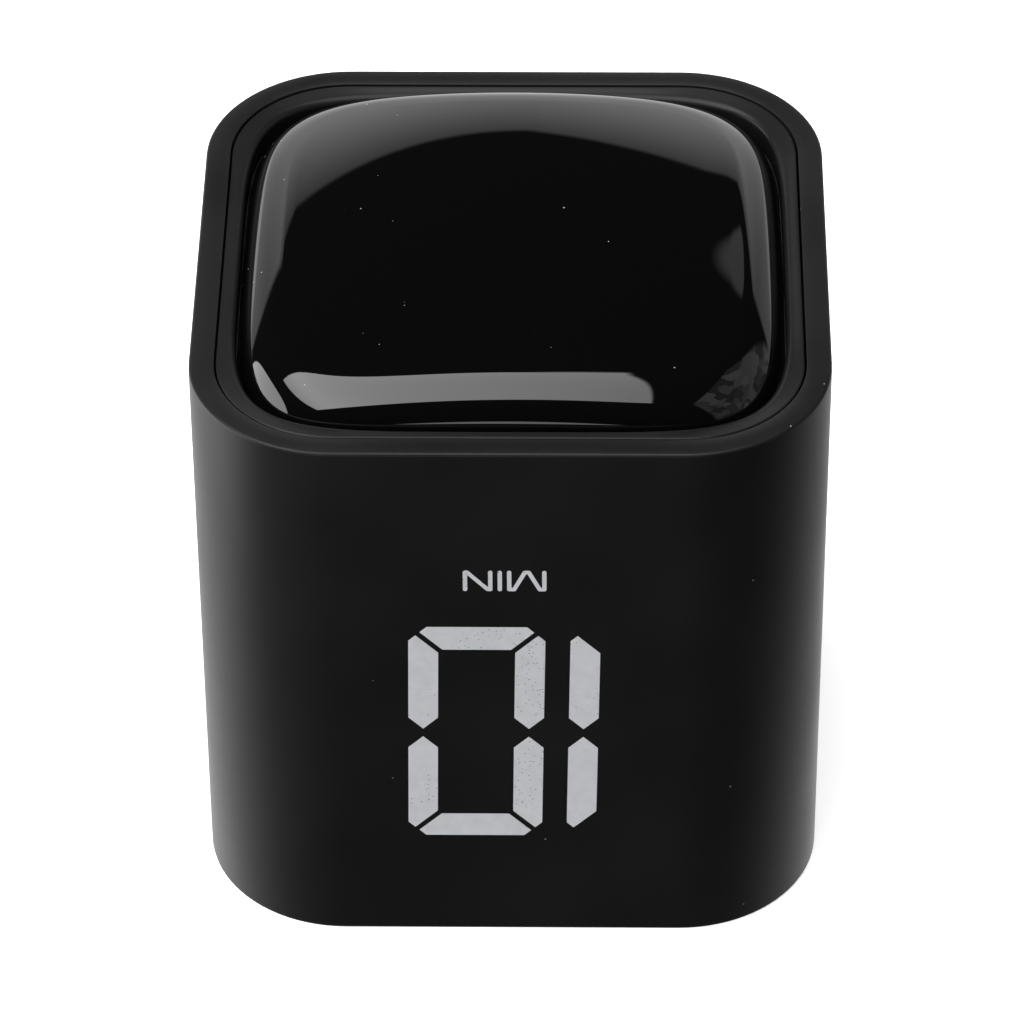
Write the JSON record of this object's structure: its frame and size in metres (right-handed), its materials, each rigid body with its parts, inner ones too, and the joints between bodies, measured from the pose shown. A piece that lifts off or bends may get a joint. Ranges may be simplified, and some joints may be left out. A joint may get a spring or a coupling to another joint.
{
  "type": "kitchen timer",
  "caption": "Cube kitchen timer with a preset time on each side face; laid with a time upwards, it counts down on hidden digits behind a domed smoked lens.",
  "frame": {"origin": "centre of the case's square footprint, on the plane of the back rim that it stands on", "axes": "+Z through the lens, away from the back cover; -Y out of the 10-minute face; +X to the right of that face as it is looked at with the lens up"},
  "size_m": [0.063, 0.063, 0.0679],
  "materials": {
    "matte_black_abs": "fine-textured matte",
    "satin_black_abs": "satin",
    "smoked_acrylic": "polished, near-opaque smoke",
    "black_foam": "closed-cell foam",
    "white_abs": "natural moulded",
    "display_black": "matte",
    "segment_epoxy": "cast diffusing epoxy",
    "circuit_board": "solder mask over glass fibre",
    "component_black": "moulded phenolic",
    "steel": "bright zinc plate",
    "aluminium_can": "drawn can in a printed sleeve",
    "brass": "bright",
    "nickel_spring": "nickel plate",
    "piezo_ceramic": "silvered ceramic",
    "cell_wrap": "printed film over a steel can",
    "red_wire": "PVC sleeve",
    "black_wire": "PVC sleeve"
  },
  "bodies": {
    "timer": {"outer_case": "matte_black_abs", "back_cover": "matte_black_abs", "front_bezel": "satin_black_abs", "display_lens": "smoked_acrylic", "lens_gasket": "black_foam", "display_frame": "white_abs", "power_header": "white_abs", "power_plug": "white_abs", "sounder_header": "white_abs", "sounder_plug": "white_abs", "display_housing": "display_black", "display_segments": "segment_epoxy", "main_pcb": "circuit_board", "display_substrate": "circuit_board", "mcu_chip": "component_black", "switch_base": "component_black", "tilt_base_left": "component_black", "tilt_base_right": "component_black", "tilt_base_upright": "component_black", "crystal": "steel", "switch_frame": "steel", "case_screw_1": "steel", "case_screw_2": "steel", "case_screw_3": "steel", "case_screw_4": "steel", "pcb_screw_1": "steel", "pcb_screw_2": "steel", "pcb_screw_3": "steel", "pcb_screw_4": "steel", "switch_screw_1": "steel", "switch_screw_2": "steel", "capacitor": "aluminium_can", "sounder_disc": "brass", "tilt_can_left": "brass", "tilt_can_right": "brass", "tilt_can_upright": "brass", "contact_positive": "nickel_spring", "contact_negative": "nickel_spring", "contact_bridge": "nickel_spring", "contact_spring_negative": "nickel_spring", "contact_spring_bridge": "nickel_spring", "sounder_ceramic": "piezo_ceramic", "battery_cell_1": "cell_wrap", "battery_cell_2": "cell_wrap", "battery_wire_red": "red_wire", "switch_wire": "red_wire", "sounder_wire_red": "red_wire", "battery_wire_black": "black_wire", "sounder_wire_black": "black_wire"},
    "door": {"battery_door": "matte_black_abs"},
    "switch": {"switch_lever": "matte_black_abs"},
    "ball_left": {"tilt_ball_left": "steel"},
    "ball_right": {"tilt_ball_right": "steel"},
    "ball_upright": {"tilt_ball_upright": "steel"}
  },
  "joints": [
    {"name": "door_hinge", "type": "hinge", "parent": "timer", "child": "door", "pos_m": [0, 0.01725, 0.0005], "axis": [1, 0, 0], "range_deg": [0, 80]},
    {"name": "power_slide", "type": "slide", "parent": "timer", "child": "switch", "axis": [1, 0, 0], "range_m": [0, 0.004]},
    {"name": "left_ball_roll", "type": "slide", "parent": "timer", "child": "ball_left", "axis": [0.7071, 0.7071, 0], "range_m": [0, 0.0014]},
    {"name": "right_ball_roll", "type": "slide", "parent": "timer", "child": "ball_right", "axis": [-0.7071, 0.7071, 0], "range_m": [0, 0.0014]},
    {"name": "upright_ball_drop", "type": "slide", "parent": "timer", "child": "ball_upright", "axis": [0, 0, 1], "range_m": [0, 0.0014]}
  ]
}
